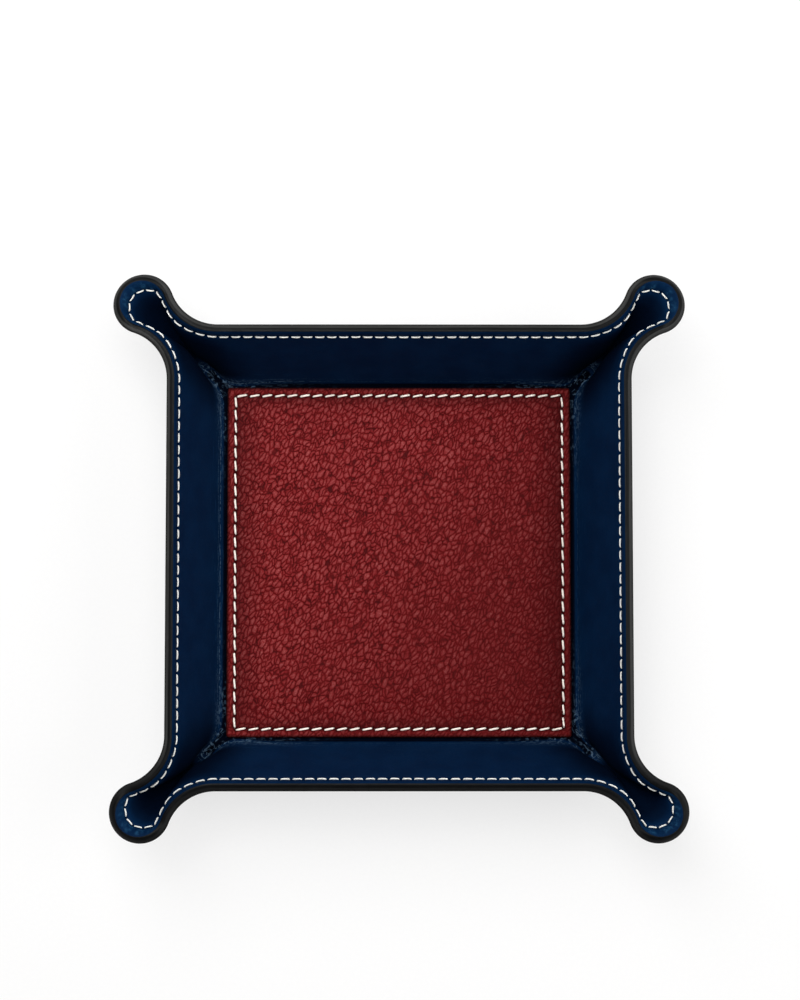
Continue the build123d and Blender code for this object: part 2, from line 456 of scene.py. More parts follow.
def capped_rows(rows):
    """Points and faces of a closed skin from rows that each run round, with a hub at each end."""
    points = np.concatenate([*rows, rows[0].mean(0)[None], rows[-1].mean(0)[None]])
    numbers = np.arange(len(points) - 2).reshape(len(rows), -1)
    first_fan = fan_faces(numbers[0], len(points) - 2)[:, ::-1]
    last_fan = fan_faces(numbers[-1], len(points) - 1)
    faces = [strip_faces(numbers[:-1], numbers[1:]), np.concatenate([first_fan, last_fan])]
    return points, facing_out(points, faces)


def surface_normals(rows):
    """Normal of each point of a grid of rows that run round the tray."""
    grid = np.array(rows)
    along = np.roll(grid, -1, 1) - np.roll(grid, 1, 1)
    across = np.gradient(grid, axis=0)
    return unit(np.cross(along, across))


def add_values(piece, **values):
    """Named values for each point of a piece, padded with zeros for its hubs."""
    for name, grid in values.items():
        padded = np.zeros(len(piece.data.vertices), np.float32)
        padded[:grid.size] = grid.ravel()
        attribute = piece.data.attributes.new(name, "FLOAT", "POINT")
        attribute.data.foreach_set("value", padded)


def add_places(piece, name, first, second):
    """Two-way place on the leather for each point of a piece, in millimetres."""
    first, second = np.broadcast_arrays(first, second)
    padded = np.zeros((len(piece.data.vertices), 3), np.float32)
    padded[:first.size, 0] = first.ravel()
    padded[:second.size, 1] = second.ravel()
    attribute = piece.data.attributes.new(name, "FLOAT_VECTOR", "POINT")
    attribute.data.foreach_set("vector", padded.ravel())


# Lining and outer leather


def round_noise(along, whole, wavelength, height, height_scale, seed):
    """Noise in real size along a loop, which closes on itself after the whole round."""
    period = round(whole / wavelength)
    return lattice_noise(along[None, :] / whole * period, height / height_scale, seed, period)


along_noise = partial(round_noise, column_along, seam_length)
fold_noise = partial(round_noise, fold_along, fold_length)


def thin_lines(noise, width):
    """Lines of height one where noise crosses zero."""
    return np.clip(1 - np.abs(noise) / width, 0, 1) ** 1.5


def seam_relief(drop):
    """How the seam draws the leather in, with a swell beside it, and its dents at the needle holes."""
    half_stitch = columns_per_stitch // 2
    offset = (np.arange(column_count) + half_stitch) % columns_per_stitch - half_stitch
    away = np.abs(offset)[None, :] * column_pitch
    dent = np.exp(-(away ** 2 + (drop - rim_seam_depth) ** 2) / seam_hole_radius ** 2)
    groove = bell(drop, rim_seam_depth, 0.6)
    swell = bell(drop, rim_seam_depth - seam_swell_offset, 1.1)
    swell = swell + 0.7 * bell(drop, rim_seam_depth + seam_swell_offset, 1.2)
    relief = seam_swell_height * swell - seam_groove_depth * groove - seam_hole_depth * dent
    return relief * ease(0.0, 0.8, drop), dent


def rounded(start, corner, end, share):
    """A point at a share of the smooth turn from start to end, drawn towards the corner."""
    return start * (1 - share) ** 2 + corner * 2 * share * (1 - share) + end * share ** 2


def between(first, last, steps):
    """Drops at even shares between two drops, without those two."""
    return [first * (1 - share) + last * share for share in np.linspace(0, 1, steps)[1:-1]]


def shaped_rows(rows, drops, length):
    """Rows drawn in as their drops say, and the drops."""
    rows = [shaped(row, column_ways, drop, length) for row, drop in zip(rows, drops)]
    return np.array(rows), np.array(drops)


def lining_front():
    """Rows of the lining's face from the floor's middle to the rim, their drops and the wall's length."""
    rim, foot, up, length = wall_lines(inner_foot, inner_rim)
    floor_edge = around(drawn_corner(floor_half_width - base_half_width - fold_reach, floor_top))
    wall_edge = foot + up * fold_reach
    turn = np.linspace(0, 1, 11)
    rows = [around(square_corner(floor_half_width - inset, flat_row_radius, floor_top))
            for inset in floor_row_insets]
    rows += [rounded(floor_edge, foot, wall_edge, share) for share in turn]
    drops = [length + inset for inset in floor_row_insets]
    drops += [length + fold_reach * (1 - 2 * share) for share in turn]
    wall_drops = [length - rise for rise in np.linspace(fold_reach, crease_band, 21)[1:]]
    wall_drops += between(length - crease_band, seam_band, 7)
    wall_drops += [np.full(column_count, drop) for drop in np.linspace(seam_band, 0, 16)]
    rows += [rim - up * drop[:, None] for drop in wall_drops]
    return *shaped_rows(rows, drops + wall_drops, length), length


def lining_back():
    """Rows of the lining's hidden side from the rim to the floor, let in over stiffeners and board."""
    rim, foot, up, length = wall_lines(bond_foot, bond_rim)
    along = unit(np.roll(foot, -1, 0) - np.roll(foot, 1, 0))
    inward = unit(np.cross(up, along))
    half_strip = foot_corner(0, 0)[0, 1] - wall_stiffener_end_gap
    middle = np.minimum(np.abs(foot[:, 0]), np.abs(foot[:, 1]))
    under_strip = (middle < half_strip).astype(float)[:, None] * wall_stiffener_thickness
    strip_foot = (floor_top + wall_stiffener_foot_gap - outer_leather_thickness) / math.cos(wall_lean)
    strip_rim = wall_length - wall_stiffener_rim_gap - outer_leather_thickness / math.cos(wall_lean)
    rows = [rim]
    pocket_rises = (strip_rim, strip_rim - pocket_step, strip_foot + pocket_step, strip_foot)
    for rise, pocket in zip(pocket_rises, (0, 1, 1, 0)):
        along_wall = np.minimum(rise, length - 1)
        row = foot + up * along_wall[:, None] + inward * under_strip * pocket
        rows.append(shaped(row, column_ways, length - along_wall, length))
    rows.append(foot)
    board_half = wall_half_width(outer_leather_thickness, outer_leather_thickness) - base_board_margin
    board_top = floor_top - floor_lining_thickness
    for half, level in ((board_half + pocket_step, outer_leather_thickness), (board_half, board_top)):
        rows.append(around(square_corner(half, pocket_corner_radius, level)))
    return np.array(rows)


def fold_relief(rise):
    """Raised wandering lines along the fold of the floor."""
    wander = fold_noise(14, rise * 0, 1, 3) * 0.55 + fold_noise(4.5, rise * 0, 1, 4) * 0.22
    broken = ease(-0.25, 0.2, fold_noise(4.2, rise, 3, 5))
    ridge = bell(rise, 0.55 + wander, 0.26) * broken
    second_broken = ease(-0.1, 0.3, fold_noise(3.1, rise, 3, 6))
    ridge = np.maximum(ridge, 0.8 * bell(rise, 1.25 - 0.8 * wander, 0.24) * second_broken)
    flakes = thin_lines(fold_noise(2.3, rise + wander, 0.7, 7), 0.3)
    flake_band = ease(-1.2, 0.2, rise) * (1 - ease(2.0, 6.5, rise)) * near_corner[None, :]
    return np.clip(ridge + flakes * flake_band, 0, 1)


def fleck_share(rise):
    """Where creases are rubbed pale and carry a painted highlight: along the corners' diagonals, and along
    the folds that lead there.
    """
    band = ease(-2.2, -0.5, rise) * (1 - ease(1.8, 5.5, rise))
    leading = 0.75 * bell(from_corner, 0, 22.0) * (1 - bell(from_corner, 0, 5.0))
    return near_corner[None, :] * band, leading[None, :] * band


def worn_share():
    """How much the fold itself is rubbed pale and carries a painted highlight: most at the left, and
    towards the corners.
    """
    near = bell(from_corner, 0, 22.0)
    return np.clip(0.18 + 0.82 * left_side + 0.4 * near, 0, 1)


def tip_puckers(drops):
    """Radial puckers round the tips of the ears, between their edge and their seam."""
    band = ease(0.1, 0.9, drops) * (1 - ease(2.8, 4.6, drops)) * tip_share[None, :]
    return along_noise(1.9, drops, 7.0, 17) * band, band


def make_lining():
    """Lining leather: floor and inner face of the walls and ears."""
    rows, drops, length = lining_front()
    rise = length[None, :] - drops
    normals = surface_normals(rows)
    normals *= np.sign(normals[0, 0, 2])
    seam, dents = seam_relief(drops)
    creases = fold_relief(rise)
    puckers, pucker_band = tip_puckers(drops)
    waves = along_noise(26, rise, 16, 21) * ease(2, 10, rise) * ease(5, 12, drops)
    relief = seam + crease_height * creases + pucker_height * puckers + lining_wave_height * waves
    front = rows + normals * relief[..., None]
    back = lining_back()
    points, faces = capped_rows([*front, *back])
    piece = add_mesh("lining", points, faces)
    # Painted shade: the shade value darkens the floor between the panel and the fold, and the ears' valleys
    # from the neck down.
    fold_rise = rise - 0.1 - 2.0 * end_side[None, :]
    on_floor = 1 - ease(-1.0, 0.1, fold_rise)
    off_diagonal = np.abs(np.abs(rows[..., 0]) - np.abs(rows[..., 1])) / math.sqrt(2)
    valley = (1 - ease(2.0, 14.0, off_diagonal)) * ease(4.0, 9.0, drops) * ease(2.0, 8.0, rise)
    # The crease marks along the folds and at the corners are partly rubbed wear and partly painted
    # highlight.
    flecked, leading = fleck_share(rise)
    # Painted highlight: glint lightens the tops of the puckers at the ear tips.
    add_values(
        piece, rubbed=flecked, leading=leading, worn=worn_share() + 0 * rise,
        glint=pucker_band * ease(-0.35, 0.45, puckers),
        # Painted shade: the dent value darkens the needle holes.
        shade=np.maximum(0.97 * on_floor, 0.75 * valley), dent=np.clip(dents, 0, 1))
    add_places(piece, "place", column_along, rise)
    add_places(piece, "fold", fold_along, fold_rise)
    return piece


def flat_rows(level):
    """Rows of the outer leather's flat part, from its edge inward, at a level."""
    return [around(square_corner(base_half_width - inset, flat_row_radius, level))
            for inset in sole_row_insets]


def make_outer_leather():
    """Outer leather: underside and outer face of the walls and ears."""
    rim, foot, up, length = wall_lines(outer_foot, outer_rim)
    corner_point = foot - up * (foot_round_height / up[:, 2:3])
    turn_start = foot + up * sole_turn_rise
    sole = around(foot_corner(sole_turn_inset, 0))
    turn = np.linspace(0, 1, 7)
    drops = [np.full(column_count, drop) for drop in np.linspace(0, seam_band, 19)]
    drops += between(seam_band, length - sole_turn_rise, 13)
    rows = [rim - up * drop[:, None] for drop in drops]
    rows += [rounded(turn_start, corner_point, sole, share) for share in turn]
    rows += flat_rows(0)
    drops += [length - sole_turn_rise + 4 * share for share in turn]
    drops += [length + inset for inset in sole_row_insets]
    rows, drops = shaped_rows(rows, drops, length)
    rows = np.array([tucked(row, drop) for row, drop in zip(rows, drops)])
    normals = surface_normals(rows)
    normals *= np.sign(normals[0, :, :2] * rim[:, :2]).sum(-1).mean()
    normals = unit(normals)
    seam, dents = seam_relief(drops)
    rise = length[None, :] - drops
    waves = along_noise(30, rise, 18, 41) * ease(3, 10, rise) * ease(5, 12, drops)
    face = rows + normals * (seam + outer_wave_height * waves)[..., None]
    bond_top, bond_edge, bond_up, _ = wall_lines(bond_foot, bond_rim)
    inside = [*flat_rows(outer_leather_thickness)[::-1], bond_edge]
    for drop in bond_row_drops:
        inside.append(shaped(bond_top - bond_up * drop, column_ways, drop, length))
    points, faces = capped_rows([*face[::-1], *inside[::-1]])
    piece = add_mesh("outer_leather_skin", points, faces)
    # Painted shade: the dent value darkens the needle holes.
    add_values(piece, dent=np.clip(dents[::-1], 0, 1))
    add_places(piece, "place", column_along, rise[::-1])
    return piece


def make_edge_finish():
    """Edge paint: a crowned bead over the cut edge of both leathers, with brushed lines along it."""
    outer, _, up, _ = wall_lines(outer_foot, outer_rim)
    inner = around(inner_rim)
    shares = (1 - np.cos(np.linspace(0, 1, 19) * math.pi)) / 2
    rows = []
    for share in shares:
        crown = edge_crown_height * (1 - abs(2 * share - 1) ** 2.8) ** 0.62
        middle, inner_line = edge_groove_depths
        groove = middle * bell(share, 0.47, 0.045) + inner_line * bell(share, 0.7, 0.05)
        height = np.full(column_count, share * 9)
        wave = lattice_noise(column_along / seam_length * 90, height, 51, 90) * edge_wave_height
        side = min(1.0, 4 * share, 4 * (1 - share))
        rows.append(outer + (inner - outer) * share + up * (crown - (groove - wave[:, None]) * side))
    under_shares = np.array([0.75, 0.5, 0.25])
    rows += [outer + (inner - outer) * share - up * edge_paint_sink for share in under_shares]
    points = np.concatenate(rows)
    numbers = np.arange(len(points)).reshape(len(rows), -1)
    faces = facing_out(points, [strip_faces(numbers, np.roll(numbers, -1, 0))])
    piece = add_mesh("edge_paint_bead", points, faces)
    across = np.concatenate([shares, under_shares])[:, None] * stack_thickness
    add_places(piece, "place", column_along, across)
    return piece


# Threads

stitch_shares = np.linspace(0, 1, 17)


def stitch_rings(centres, up_axis, radius):
    """Points of one twisted stitch: rings round its centre line, closed by small ends."""
    sides, plies, turns = 12, 3, 2.2
    from_end = np.minimum(stitch_shares, 1 - stitch_shares)
    taper = np.clip(from_end * 7, 0, 1) ** 0.5 * 0.75 + 0.25
    tangents = unit(np.gradient(centres, axis=0))
    ups = unit(up_axis - tangents * (tangents @ up_axis)[:, None])
    across = np.cross(tangents, ups)
    angles = np.arange(sides) / sides * 2 * math.pi
    twist = stitch_shares[:, None] * turns * 2 * math.pi / plies
    ply = 1 + 0.1 * np.abs(np.cos((angles[None, :] - twist) * plies / 2)) - 0.05
    reach = radius * taper[:, None] * ply
    ring = across[:, None, :] * (np.cos(angles) * reach)[..., None]
    ring = ring + ups[:, None, :] * (np.sin(angles) * reach)[..., None]
    return centres[:, None, :] + ring


def join_stitches(name, all_rings):
    """One object from the rings of many stitches, each closed at both of its ends."""
    all_points = []
    bodies = []
    ends = []
    start = 0
    for rings in all_rings:
        points, (body, fans) = capped_rows(rings)
        all_points.append(points)
        bodies.append(body + start)
        ends.append(fans + start)
        start += len(points)
    return add_mesh(name, np.concatenate(all_points), [np.concatenate(bodies), np.concatenate(ends)])


def thread_arch(low, high):
    """Height of a thread's centre over the leather between two holes."""
    return low + (high - low) * (1 - np.abs(2 * stitch_shares - 1) ** 4.5)


def make_rim_thread(name, foot_shape, rim_shape, facing, radius, height):
    """Stitches of the rim seam, inside the wall where facing is 1, with their middles at a height."""
    rng = np.random.default_rng(61 if facing > 0 else 62)
    stitches = []
    for number in range(rim_stitch_count):
        first = (number + (1 - rim_stitch_share) / 2) * rim_stitch_step
        along = first + stitch_shares * rim_stitch_step * rim_stitch_share
        stations = np.interp(along, travelled, travel_stations)
        drop = rim_seam_depth + rng.normal(0, 0.04)
        base, up = wall_points(foot_shape, rim_shape, stations, drop)
        base = shaped(base, drawn_in(stations), drop, wall_length)
        if facing < 0:
            base = tucked(base, drop)
        chord = base[0] + (base[-1] - base[0]) * stitch_shares[:, None]
        out = unit(np.cross(up[8], base[-1] - base[0])) * facing
        bulge = np.maximum((base - chord) @ out, 0)
        lift = thread_arch(-rim_thread_sink, height + rng.normal(0, 0.02)) + bulge
        centres = chord + out * lift[:, None]
        stitches.append(stitch_rings(centres, out, radius * rng.uniform(0.94, 1.05)))
    return join_stitches(name, stitches)


# Red panel

panel_half_width = floor_half_width - panel_side_gap
panel_half_length = floor_half_width - panel_end_gap
panel_top = floor_top + panel_leather_thickness
edge_steps = np.array([0, 0.3, 0.6, 0.85, 1.1, 1.4])
edge_insets = np.array([0.12, 0.0, 0.03, 0.14, 0.34, 0.62])
edge_drops = np.array([1.2, 0.78, 0.38, 0.14, 0.03, 0.0])


def panel_lines(half):
    """Places of the grid lines across the panel, closer together at its edge and seam."""
    border = list(edge_steps)
    seam_end = edge_steps[-1] - edge_insets[-1] + panel_seam_inset + 1.1
    near_seam = list(np.arange(edge_steps[-1] + seam_line_step, seam_end, seam_line_step))
    start = near_seam[-1]
    reach = half + edge_steps[-1] - edge_insets[-1]
    count = round((reach - start) / middle_line_step)
    middle = list(np.linspace(start, reach, count + 1)[1:])
    side = border + near_seam + middle
    return np.array(side + [2 * reach - place for place in side[-2::-1]]), reach


def pad_rise(x, y):
    """How far the pad lifts the leather."""
    in_x = panel_half_width - panel_pad_inset - np.abs(x)
    in_y = panel_half_length - panel_pad_inset - np.abs(y)
    radius = panel_pad_corner_radius
    corner = radius - np.hypot(np.minimum(in_x - radius, 0), np.minimum(in_y - radius, 0))
    inside = np.where((in_x < radius) & (in_y < radius), corner, np.minimum(in_x, in_y))
    return panel_pad_thickness * ease(-0.8, panel_pad_slope + 5, inside)


def panel_holes():
    """Holes of the four slanting rows of stitches: pairs of points, each with its row's direction."""
    sides = [panel_half_width - panel_seam_inset, panel_half_length - panel_seam_inset]
    pairs = []
    for quarters in range(4):
        half_run, offset = sides[quarters % 2], sides[(quarters + 1) % 2]
        count = round(2 * half_run / panel_stitch_pitch)
        pitch = 2 * half_run / count
        half = pitch * panel_stitch_share / 2
        slant = panel_stitch_slants[quarters % 2]
        step = np.array([math.cos(slant), math.sin(slant), 0]) * half
        for number in range(count):
            centre = np.array([(number + 0.5) * pitch - half_run, offset, 0])
            pairs.append(quarter_turned(np.array([centre - step, centre + step]), quarters))
    return np.array(pairs)


def pebble_height(x, y):
    """Height of the pebbled grain from 0 in its creases to 1 on its tops, drawn out along one diagonal."""
    wander_x, wander_y = (
        place + patch_noise(x, y, 5.5, seed) * 0.9 + patch_noise(x, y, 1.5, seed + 1) * 0.34
        for place, seed in ((x, 71), (y, 73)))
    run = wander_x * math.cos(pebble_turn) + wander_y * math.sin(pebble_turn)
    cross = wander_y * math.cos(pebble_turn) - wander_x * math.sin(pebble_turn)
    nearest, second = cell_distances(run / 2.25, cross / 1.55, 76)
    crease = 1 - ease(0.0, 0.24, second - nearest)
    dome = 1 - 0.75 * np.clip(nearest, 0, 1) ** 2
    small_near, small_second = cell_distances(run / 1.15, cross / 0.85, 77)
    small_crease = 1 - ease(0.0, 0.25, small_second - small_near)
    depth = 0.35 + 0.65 * ease(-0.35, 0.45, patch_noise(x, y, 3.4, 78))
    small_depth = 0.5 * ease(-0.2, 0.5, patch_noise(x, y, 4.2, 79))
    soft = 0.16 * patch_noise(x, y, 2.7, 80)
    return np.clip(dome + soft - 0.55 * crease * depth - 0.5 * small_crease * small_depth, 0, 1)


def panel_grid():
    """The x and y of the panel's grid points, their run in from the grid's edge, and their inset."""
    lines_x, reach_x = panel_lines(panel_half_width)
    lines_y, reach_y = panel_lines(panel_half_length)
    in_x = np.minimum(lines_x, 2 * reach_x - lines_x)[:, None]
    in_y = np.minimum(lines_y, 2 * reach_y - lines_y)[None, :]
    shift = edge_steps[-1] - edge_insets[-1]
    inset_x, inset_y = (
        np.where(run < edge_steps[-1], np.interp(run, edge_steps, edge_insets), run - shift) + 0 * other
        for run, other in ((in_x, in_y), (in_y, in_x)))
    radius = panel_corner_radius
    round_x = np.clip(radius - inset_x, 0, None) / radius
    round_y = np.clip(radius - inset_y, 0, None) / radius
    longest = np.maximum(round_x, round_y) / np.maximum(np.hypot(round_x, round_y), 1e-9)
    pull = radius * np.where((round_x > 0) & (round_y > 0), longest, 1)
    away_x = panel_half_width - np.where(round_x > 0, radius - round_x * pull, inset_x)
    away_y = panel_half_length - np.where(round_y > 0, radius - round_y * pull, inset_y)
    x = away_x * np.where(lines_x < reach_x, -1, 1)[:, None]
    y = away_y * np.where(lines_y < reach_y, -1, 1)[None, :]
    inset = np.minimum(panel_half_width - np.abs(x), panel_half_length - np.abs(y))
    return x, y, np.minimum(in_x, in_y), inset


def panel_hole_dents(x, y):
    """Dents of the panel's needle holes, 1 at the middle of each."""
    dents = np.zeros(x.shape)
    for point in panel_holes().reshape(-1, 3):
        near_x = np.abs(x[:, x.shape[1] // 2] - point[0]) < panel_hole_reach
        near_y = np.abs(y[x.shape[0] // 2, :] - point[1]) < panel_hole_reach
        block = np.ix_(near_x, near_y)
        away = (x[block] - point[0]) ** 2 + (y[block] - point[1]) ** 2
        dents[block] = np.maximum(dents[block], np.exp(-away / panel_hole_radius ** 2))
    return dents


def make_panel():
    """Red leather panel: pebbled, drawn up over its pad, with a stitched border and a rounded edge."""
    x, y, run_in, inset = panel_grid()
    drop = np.interp(run_in, edge_steps, edge_drops)
    on_top = ease(0.5, 1.2, run_in)
    pebbles = pebble_height(x, y)
    border = 1 - ease(panel_seam_inset - 0.9, panel_seam_inset + 1.3, inset)
    depth = panel_grain_depth * (1 - 0.45 * border) * on_top
    waves = patch_noise(x, y, 24, 81) * panel_wave_height * ease(4, 12, inset)
    groove = bell(inset, panel_seam_inset, 0.62) * on_top
    holes = panel_hole_dents(x, y)
    z = panel_top + pad_rise(x, y) - drop - depth * (1 - pebbles) + waves
    z = z - panel_groove_depth * groove - panel_hole_depth * holes * on_top
    z = np.where(run_in < edge_steps[1] / 2, floor_top, z)
    points, faces = closed_sheet(np.stack([x, y, z], -1))
    piece = add_mesh("red_panel", points, faces)
    # Painted shade: darker just inside the seam, for 13 mm inside it at the sides and 6 mm at the ends
    # where the pad falls away, in the seam's groove and in the needle holes. The rolled edge is darker
    # partly from edge dye and partly as painted shade.
    past_seam = inset - panel_seam_inset
    past_seam_x = panel_half_width - np.abs(x) - panel_seam_inset
    past_seam_y = panel_half_length - np.abs(y) - panel_seam_inset
    beside_seam = np.exp(-np.clip(past_seam, 0, None) / 1.7) * ease(-0.3, 0.3, past_seam)
    hollow = np.maximum(1 - ease(0.0, 13.0, past_seam_x), 0.8 - 0.8 * ease(0.0, 6.0, past_seam_y))
    add_values(
        piece, border=border, edge=1 - ease(0.0, 1.4, inset), beside_seam=beside_seam,
        hollow=hollow * (1 - border), groove=groove, dent=np.clip(holes, 0, 1))
    return piece


def closed_sheet(grid):
    """Points and faces of a grid of points with an underside hung from its edge, let in for the pad."""
    count_x, count_y = grid.shape[:2]
    index = np.arange(count_x * count_y).reshape(count_x, count_y)
    quads = np.stack([index[:-1, :-1], index[1:, :-1], index[1:, 1:], index[:-1, 1:]], -1).reshape(-1, 4)
    ring = np.concatenate([index[:-1, 0], index[-1, :-1], index[:0:-1, -1], index[0, :0:-1]])
    points = grid.reshape(-1, 3)
    sizes = np.array([panel_half_width, panel_half_length])
    extra = []
    rows = [ring]
    for slope_in, level in ((0, 0), (1.8, 0.66), (panel_pad_slope, 1)):
        row = points[ring]
        row[:, :2] *= 1 - (panel_pad_inset + slope_in) / sizes
        row[:, 2] = floor_top + panel_pad_thickness * level
        rows.append(np.arange(len(ring)) + len(points) + len(extra) * len(ring))
        extra.append(row)
    under = [strip_faces(lower, upper) for upper, lower in zip(rows, rows[1:])]
    points = np.concatenate([points, *extra, [[0, 0, floor_top + panel_pad_thickness]]])
    faces = [np.concatenate([quads, *under]), fan_faces(rows[-1], len(points) - 1)[:, ::-1]]
    return points, facing_out(points, faces)


def make_panel_thread():
    """Slanting stitches just inside the edge of the red panel."""
    rng = np.random.default_rng(91)
    upright = np.array([0.0, 0.0, 1.0])
    stitches = []
    for first, last in panel_holes():
        chord = first + (last - first) * stitch_shares[:, None]
        lift = panel_top + thread_arch(-panel_thread_sink, panel_thread_rise + rng.normal(0, 0.03))
        centres = chord + upright * lift[:, None]
        stitches.append(stitch_rings(centres, upright, panel_thread_radius * rng.uniform(0.95, 1.06)))
    return join_stitches("panel_stitches", stitches)


def make_pad():
    """Felt pad under the red leather, its sides rounded and its faces a little uneven."""
    half_x = panel_half_width - panel_pad_inset
    half_y = panel_half_length - panel_pad_inset
    rows = []
    angles = np.arange(480) / 480 * 2 * math.pi
    pad_insets = (0.0, 0.3, 1.8, 3.7, 6.0, 9.0, 30.0)
    pad_levels = (0.0, 0.16, 0.5, 0.82, 0.96, 1.0, 1.0)
    for inset, level in zip(pad_insets, pad_levels):
        radius = max(panel_pad_corner_radius - inset / 2, 3)
        direction = np.stack([np.cos(angles), np.sin(angles)], -1)
        far = np.array([half_x - inset - radius, half_y - inset - radius])
        centre = np.clip(direction * 99, -far, far)
        shift = np.array([np.interp(np.abs(direction[:, 0]), [0, 0.7], [0, 1]),
                          np.interp(np.abs(direction[:, 1]), [0, 0.7], [0, 1])]).T
        level_points = centre * shift + direction * radius
        uneven = pad_unevenness * patch_noise(level_points[:, 0], level_points[:, 1], 3, 95) * (level > 0)
        height = floor_top + 0.02 + (panel_pad_thickness - 0.06) * level + uneven
        rows.append(np.column_stack([level_points, height]))
    points, faces = capped_rows(rows)
    return add_mesh("felt_pad_sheet", points, faces)


# Materials


class Graph:
    """A node tree that starts empty, with short calls to add and join its nodes."""

    def __init__(self, owner):
        owner.use_nodes = True
        self.owner = owner
        self.tree = owner.node_tree
        self.tree.nodes.clear()

    def fill(self, socket, value):
        """Sets a socket, or links it if the value is itself a socket."""
        if isinstance(value, bpy.types.NodeSocket):
            self.tree.links.new(value, socket)
        elif socket.type == "RGBA" and len(value) == 3:
            socket.default_value = (*value, 1)
        else:
            socket.default_value = value

    def add(self, kind, inputs, **settings):
        """A node with its settings, and with the named inputs filled."""
        node = self.tree.nodes.new(kind)
        for name, value in settings.items():
            setattr(node, name, value)
        for name, value in inputs.items():
            self.fill(node.inputs[name], value)
        return node

    def maths(self, operation, *values):
        return self.add("ShaderNodeMath", dict(enumerate(values)), operation=operation).outputs[0]

    def vectors(self, operation, *values):
        return self.add("ShaderNodeVectorMath", dict(enumerate(values)), operation=operation).outputs[0]

    def times(self, first, second):
        return self.maths("MULTIPLY", first, second)

    def larger(self, first, second):
        return self.maths("MAXIMUM", first, second)

    def span(self, value, low, high, to_low=0, to_high=1):
        """Smooth step from one level at low to another at high."""
        inputs = dict(enumerate((value, low, high, to_low, to_high)))
        return self.add("ShaderNodeMapRange", inputs, interpolation_type="SMOOTHSTEP").outputs["Result"]

    def blend(self, share, first, second):
        inputs = {"Factor": share, "A": first, "B": second}
        return self.add("ShaderNodeMix", inputs, data_type="RGBA").outputs["Result"]

    def tint(self, colour, share, strength, other):
        """A colour blended towards another one by a share times a strength."""
        return self.blend(self.times(share, strength), colour, other)

    def mapped(self, where, **settings):
        """Places that a mapping node has turned or scaled."""
        inputs = {name.title(): value for name, value in settings.items()}
        return self.add("ShaderNodeMapping", {"Vector": where, **inputs}).outputs[0]

    def place(self, scale=(1, 1, 1)):
        """Object coordinates in millimetres, times a scale."""
        where = self.add("ShaderNodeTexCoord", {}).outputs["Object"]
        return self.mapped(where, scale=[part / MM for part in scale])

    def sheet_place(self, scale=(1, 1, 1), name="place"):
        """The piece's own place along and up the leather, times a scale."""
        where = self.add("ShaderNodeAttribute", {}, attribute_name=name).outputs["Vector"]
        return self.mapped(where, scale=scale)

    def stored(self, name):
        """A value that the piece holds for each of its points."""
        return self.add("ShaderNodeAttribute", {}, attribute_name=name).outputs["Fac"]

    def noise(self, where, scale, detail=2.0, roughness=0.5, output="Fac"):
        inputs = {"Vector": where, "Scale": scale, "Detail": detail, "Roughness": roughness}
        return self.add("ShaderNodeTexNoise", inputs).outputs[output]

    def line(self, value, width):
        """Thin lines of height one where a noise crosses its middle."""
        away = self.maths("ABSOLUTE", self.maths("SUBTRACT", value, 0.5))
        return self.span(away, 0.0, width, 1, 0)

    def warped(self, where, scale, reach):
        """Places pushed about by noise, so that a pattern laid on them wanders."""
        inputs = {0: self.noise(where, scale, output="Color"), "Scale": reach}
        push = self.add("ShaderNodeVectorMath", inputs, operation="SCALE").outputs[0]
        return self.vectors("ADD", where, push)

    def turned(self, where, degrees, scale):
        """Places turned about the upright axis, then times a scale."""
        turn = self.mapped(where, rotation=(0, 0, math.radians(degrees)))
        return self.vectors("MULTIPLY", turn, scale)

    def part(self, where, axis):
        """The x, y or z part of a place or of a colour."""
        return self.add("ShaderNodeSeparateXYZ", {0: where}).outputs[axis]

    def cells(self, where, scale, feature="F1", randomness=1.0, output="Distance"):
        """Distances in a pattern of cells, or the one chance colour that each cell has."""
        inputs = {"Vector": where, "Scale": scale, "Randomness": randomness}
        return self.add("ShaderNodeTexVoronoi", inputs, feature=feature).outputs[output]

    def bump(self, height, distance_mm, strength=1.0, below=None):
        """Normals tilted by a height, over those of a relief below where there is one."""
        inputs = {"Strength": strength, "Distance": distance_mm * MM, "Height": height}
        if below is not None:
            inputs["Normal"] = below
        return self.add("ShaderNodeBump", inputs).outputs[0]

    def finish(self, colour, roughness, shine, **inputs):
        """The material, with its colour, roughness, specular level and other inputs."""
        inputs = {name.replace("_", " "): value for name, value in inputs.items()}
        inputs.update({"Base Color": colour, "Roughness": roughness, "Specular IOR Level": shine})
        shader = self.add("ShaderNodeBsdfPrincipled", inputs)
        self.add("ShaderNodeOutputMaterial", {"Surface": shader.outputs[0]})
        return self.owner


def material_graph(name):
    """The empty node tree of a new material."""
    return Graph(bpy.data.materials.new(name))


def corner_flecks(graph, where):
    """Short pale flecks on the creases of the corners, partly rubbed wear and partly painted highlight,
    drawn out along each corner's diagonal.
    """
    folded = graph.vectors("ABSOLUTE", graph.warped(where, 0.25, 1.3))
    drawn = graph.turned(folded, -45, (0.26, 1.15, 0))
    here = graph.span(graph.noise(where, 0.75, 1), 0.47, 0.55)
    flecks = graph.times(graph.line(graph.noise(drawn, 1, 1), 0.07), graph.stored("rubbed"))
    drawn = graph.sheet_place((0.17, 1.0, 1), "fold")
    dashes = graph.times(graph.line(graph.noise(drawn, 1, 1), 0.07), graph.stored("leading"))
    return graph.times(graph.larger(flecks, dashes), here)


